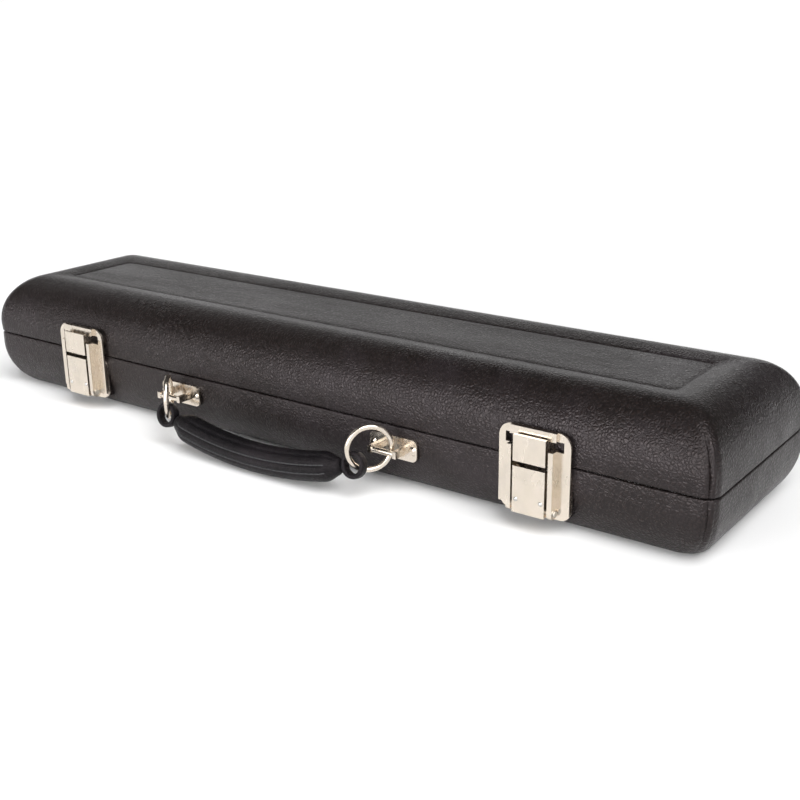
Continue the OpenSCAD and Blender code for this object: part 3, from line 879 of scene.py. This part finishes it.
def round_edges(obj, width, angle=35):
    bevel = obj.modifiers.new("edges", "BEVEL")
    bevel.width = width
    bevel.segments = 3
    bevel.limit_method = "ANGLE"
    bevel.angle_limit = math.radians(angle)
    bevel.harden_normals = False


class CASE_OT_fittings(Operator):
    """Nickel on the latches, mounts, rings and hinges, with rounded edges"""
    bl_idname = "flute_case.fittings"
    bl_label = "Fittings"

    def execute(self, context):
        for name in NICKEL_NODES:
            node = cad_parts[name]
            dress(node, "nickel")
            smooth(node, 35)
            if "ring" not in name:
                round_edges(node, looks().fitting_bevel)
        for name in STEEL_NODES:
            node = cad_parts[name]
            dress(node, "steel_pins")
            smooth(node, 35)
        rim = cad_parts["base_rim"]
        dress(rim, "rim_metal")
        smooth(rim, 35)
        round_edges(rim, 0.2 * MM)
        return {"FINISHED"}


# ---------------------------------------------------------------- image points
def camera_axes():
    """Right, up and back of the camera, as columns."""
    back = Vector((math.sin(CAM_AZIMUTH) * math.cos(CAM_ELEVATION),
                   -math.cos(CAM_AZIMUTH) * math.cos(CAM_ELEVATION), math.sin(CAM_ELEVATION)))
    right = (-back).cross(Vector((0, 0, 1))).normalized()
    up = right.cross(-back)
    turned_right = right * math.cos(CAM_ROLL) + up * math.sin(CAM_ROLL)
    turned_up = up * math.cos(CAM_ROLL) - right * math.sin(CAM_ROLL)
    return Matrix((turned_right, turned_up, back)).transposed()


def image_ray(x, y):
    """Start and direction of the ray through an image point."""
    cam = bpy.context.scene.camera
    long_side = max(PHOTO_W, PHOTO_H)
    local = Vector((x - PHOTO_W / 2 + cam.data.shift_x * long_side,
                    PHOTO_H / 2 - y + cam.data.shift_y * long_side,
                    -long_side * cam.data.lens / cam.data.sensor_width))
    turn = cam.matrix_world.to_3x3()
    return cam.matrix_world.translation, (turn @ local).normalized()


def seen_at(point):
    """Image place of a point in space."""
    cam = bpy.context.scene.camera
    local = cam.matrix_world.inverted() @ Vector(point)
    long_side = max(PHOTO_W, PHOTO_H)
    scale = long_side * cam.data.lens / cam.data.sensor_width / -local.z
    return (PHOTO_W / 2 - cam.data.shift_x * long_side + local.x * scale,
            PHOTO_H / 2 + cam.data.shift_y * long_side - local.y * scale)


def tree_of(objects):
    depsgraph = bpy.context.evaluated_depsgraph_get()
    verts, faces = [], []
    for obj in objects:
        ready = obj.evaluated_get(depsgraph)
        mesh = ready.to_mesh()
        start = len(verts)
        verts += [obj.matrix_world @ v.co for v in mesh.vertices]
        faces += [tuple(i + start for i in p.vertices) for p in mesh.polygons]
        ready.to_mesh_clear()
    return BVHTree.FromPolygons(verts, faces), verts


def placed_on(tree, point):
    """Where the ray through an image point meets the tree, or the place nearest the ray on a miss."""
    start, way = image_ray(*point)
    spot, normal, _, _ = tree.ray_cast(start, way)
    if spot is None:
        near = min((tree.find_nearest(start + way * d * 10 * MM) for d in range(30, 80)), key=lambda n: n[3])
        spot, normal = near[0], near[1]
    return spot, normal


# How far a head's middle stays from the box's edge
HEAD_MARGIN = 1.6 * MM
# Radius and height, in mm, of each ring of a rivet head, from its foot up
HEAD_PROFILE = [(0.95, 0.0), (0.9, 0.14), (0.68, 0.3), (0.4, 0.4), (0.12, 0.44)]


def rivet_head(middle, around=20):
    """A low domed head that faces the front."""
    verts = []
    for radius, out in HEAD_PROFILE:
        for i in range(around):
            t = 2 * math.pi * i / around
            verts.append(middle + Vector((math.cos(t) * radius, -out, math.sin(t) * radius)) * MM)
    faces = tube_faces(len(HEAD_PROFILE), around)
    faces.append(tuple((len(HEAD_PROFILE) - 1) * around + i for i in range(around)))
    faces.append(tuple(range(around)))
    return verts, faces


class CASE_OT_dimples(Operator):
    """Small pressed rivet heads on the lower box of each latch"""
    bl_idname = "flute_case.dimples"
    bl_label = "Latch rivet heads"

    def execute(self, context):
        tree, _ = tree_of([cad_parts["latch_bracket_right"]])
        reach = BOX_W / 2 - HEAD_MARGIN
        parts = []
        for key in ("dimple_low_left", "dimple_low_right"):
            spot, _ = placed_on(tree, IMAGE_POINTS[key])
            across = min(max(spot.x, LATCH_X - reach), LATCH_X + reach)
            spot = tree.ray_cast(Vector((across, -CASE_W, spot.z)), Vector((0, 1, 0)))[0]
            for side in (1, -1):
                middle = Vector((spot.x if side > 0 else spot.x - 2 * LATCH_X, spot.y, spot.z))
                parts.append(rivet_head(middle))
        heads = new_piece("latch_box_rivets", *joined(parts), "steel_pins", 50)
        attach(heads, "base")
        return {"FINISHED"}


# ---------------------------------------------------------------- stage
def room_patch(tree, way, aim, edge, fade, outside, inside):
    """Light that changes from one value to another round a direction in the room."""
    nearness = tree.nodes.new("ShaderNodeVectorMath")
    nearness.operation = "DOT_PRODUCT"
    nearness.inputs[1].default_value = Vector(aim).normalized()
    ramp = tree.nodes.new("ShaderNodeMapRange")
    ramp.interpolation_type = "SMOOTHSTEP"
    for key, value in (("From Min", math.cos(fade)), ("From Max", math.cos(edge)),
                       ("To Min", outside), ("To Max", inside)):
        ramp.inputs[key].default_value = value
    tree.links.new(way.outputs["Generated"], nearness.inputs[0])
    tree.links.new(nearness.outputs["Value"], ramp.inputs["Value"])
    return ramp.outputs["Result"]


def build_room(scene):
    """White walls, a dark ceiling and the patches of light and shade."""
    world = bpy.data.worlds.new("studio")
    scene.world = world
    world.use_nodes = True
    tree = world.node_tree
    way = tree.nodes.new("ShaderNodeTexCoord")
    total = room_patch(tree, way, CEILING_WAY, CEILING_EDGE, CEILING_FADE, ROOM_LIGHT, CEILING_LIGHT)
    for aim, edge, fade, light in ROOM_PATCHES:
        both = tree.nodes.new("ShaderNodeMath")
        both.operation = "ADD"
        tree.links.new(total, both.inputs[0])
        tree.links.new(room_patch(tree, way, aim, edge, fade, 0.0, light), both.inputs[1])
        total = both.outputs["Value"]
    least = tree.nodes.new("ShaderNodeMath")
    least.operation = "MAXIMUM"
    least.inputs[1].default_value = CEILING_LIGHT
    tree.links.new(total, least.inputs[0])
    background = tree.nodes["Background"]
    background.inputs["Color"].default_value = (1, 1, 1, 1)
    # The camera sees a plain pale room; the bright and dark zones only light the case.
    path = tree.nodes.new("ShaderNodeLightPath")
    seen = tree.nodes.new("ShaderNodeMix")
    seen.data_type = "FLOAT"
    tree.links.new(path.outputs["Is Camera Ray"], seen.inputs["Factor"])
    tree.links.new(least.outputs["Value"], seen.inputs["A"])
    seen.inputs["B"].default_value = 1.0
    tree.links.new(seen.outputs["Result"], background.inputs["Strength"])


def hang(scene, light, place, way):
    """Puts a light in the scene, shining away from the direction it looks back along."""
    lamp = bpy.data.objects.new(light.name, light)
    scene.collection.objects.link(lamp)
    lamp.location = place
    lamp.rotation_euler = Vector(way).to_track_quat("Z", "Y").to_euler()


def build_lights(scene):
    """One broad soft key from the right, and a small fill from the front."""
    key = bpy.data.lights.new("key", "SUN")
    key.energy = KEY_LIGHT
    key.angle = KEY_SOFTNESS
    hang(scene, key, (0, 0, 0), KEY_WAY)
    fill = bpy.data.lights.new("fill_front", "AREA")
    fill.shape = "RECTANGLE"
    fill.size, fill.size_y = FILL_SIZE
    fill.energy = FILL_LIGHT
    hang(scene, fill, FILL_PLACE, Vector(FILL_PLACE) - Vector(FILL_AIM))


def build_camera(scene):
    camera = bpy.data.cameras.new("photo_camera")
    camera.lens = CAM_LENS
    camera.sensor_width = CAM_SENSOR
    camera.sensor_fit = "AUTO"
    camera.clip_start = 0.01
    holder = bpy.data.objects.new("photo_camera", camera)
    scene.collection.objects.link(holder)
    holder.matrix_world = Matrix.Translation(CAM_PLACE) @ camera_axes().to_4x4()
    scene.camera = holder


class CASE_OT_stage(Operator):
    """Pale floor, soft studio lights and the camera"""
    bl_idname = "flute_case.stage"
    bl_label = "Stage"

    def execute(self, context):
        scene = context.scene
        bpy.ops.mesh.primitive_plane_add(size=FLOOR_SIZE, location=(0, 0, FLOOR_Z))
        floor = context.object
        floor.name = "floor"
        dress(floor, "floor")
        floor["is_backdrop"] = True
        build_room(scene)
        build_lights(scene)
        build_camera(scene)
        scene.view_settings.view_transform = "Standard"
        bpy.context.view_layer.update()
        return {"FINISHED"}


class CASE_PT_panel(Panel):
    """The case's pieces, sizes and colours"""
    bl_idname = "CASE_PT_panel"
    bl_label = "Flute case"
    bl_space_type = "VIEW_3D"
    bl_region_type = "UI"
    bl_category = "Flute case"

    def draw(self, context):
        settings = context.scene.case_looks
        for name in settings.__annotations__:
            self.layout.prop(settings, name)
        for piece in PIECES:
            self.layout.operator(piece.bl_idname)


# The stage comes first, because the camera places the latch rivet heads.
PIECES = (CASE_OT_stage, CASE_OT_lid, CASE_OT_base, CASE_OT_insert, CASE_OT_lining,
          CASE_OT_grip, CASE_OT_loops, CASE_OT_fittings, CASE_OT_dimples)
CLASSES = (CaseLooks, *PIECES, CASE_PT_panel)


def register():
    for item in CLASSES:
        bpy.utils.register_class(item)
    bpy.types.Scene.case_looks = PointerProperty(type=CaseLooks)


def unregister():
    del bpy.types.Scene.case_looks
    for item in reversed(CLASSES):
        bpy.utils.unregister_class(item)


# ---------------------------------------------------------------- image places
def seen_extent(names, tree):
    """Box in the image of the vertices of these pieces that the camera sees."""
    cam = bpy.context.scene.camera.matrix_world.translation
    places = []
    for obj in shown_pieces():
        if not any(obj.name == n or obj.name.startswith(n + ".") for n in names):
            continue
        _, verts = tree_of([obj])
        for v in verts:
            way = v - cam
            _, _, _, reach = tree.ray_cast(cam, way.normalized())
            if reach is None or reach > way.length - 0.4 * MM:
                places.append(seen_at(v))
    xs = [p[0] for p in places]
    ys = [p[1] for p in places]
    return min(xs), max(xs), min(ys), max(ys)


def nearest_shown(name, place, tree):
    """The finished vertex of a piece that shows and lies nearest a place on it."""
    cam = bpy.context.scene.camera.matrix_world.translation
    _, verts = tree_of([bpy.data.objects[name]])
    for v in sorted(verts, key=lambda v: (v - Vector(place)).length):
        way = v - cam
        reach = tree.ray_cast(cam, way.normalized())[3]
        if reach is None or reach > way.length - 0.4 * MM:
            return v
    raise RuntimeError(f"no vertex of {name} shows")


def write_points():
    """Works out where each thing, mark and rivet head shows in the image; nothing is compared with the image
    points or kept.
    """
    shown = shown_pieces()
    tree, verts = tree_of(shown)
    things = {
        "latch_left_middle": ["latch_frame_left", "latch_bracket_left", "latch_keeper_left"],
        "latch_right_middle": ["latch_frame_right", "latch_bracket_right", "latch_keeper_right"],
        "ring_right_middle": ["handle_ring_right"],
        "mount_left_middle": ["handle_plate_left", "handle_ring_left"],
    }
    for key, names in things.items():
        x0, x1, y0, y1 = seen_extent(names, tree)
    x0, x1, y0, y1 = seen_extent(["handle_plate_right"], tree)
    seen_extent(["leather_grip"], tree)[3]
    wall = SHOULDER_RUN + BORDER_W
    corner = CORNER_R * (1 - math.sqrt(0.5))
    marks = {
        "panel_back_left": ("lid_leather", (wall - CASE_L / 2, CASE_W / 2 - wall, CASE_H)),
        "panel_back_right": ("lid_leather", (CASE_L / 2 - wall, CASE_W / 2 - wall, CASE_H)),
        "seam_corner": ("base_leather", (CASE_L / 2 - corner, corner - CASE_W / 2, SEAM_LOW)),
    }
    for key, (name, place) in marks.items():
        seen_at(nearest_shown(name, place, tree))
    heads = sorted(seen_at(v) for v in tree_of([bpy.data.objects["latch_box_rivets"]])[1] if v.x > 0)


def main():
    register()
    for piece in PIECES:
        group, name = piece.bl_idname.split(".")
        getattr(getattr(bpy.ops, group), name)()
    write_points()


if __name__ == "__main__":
    main()
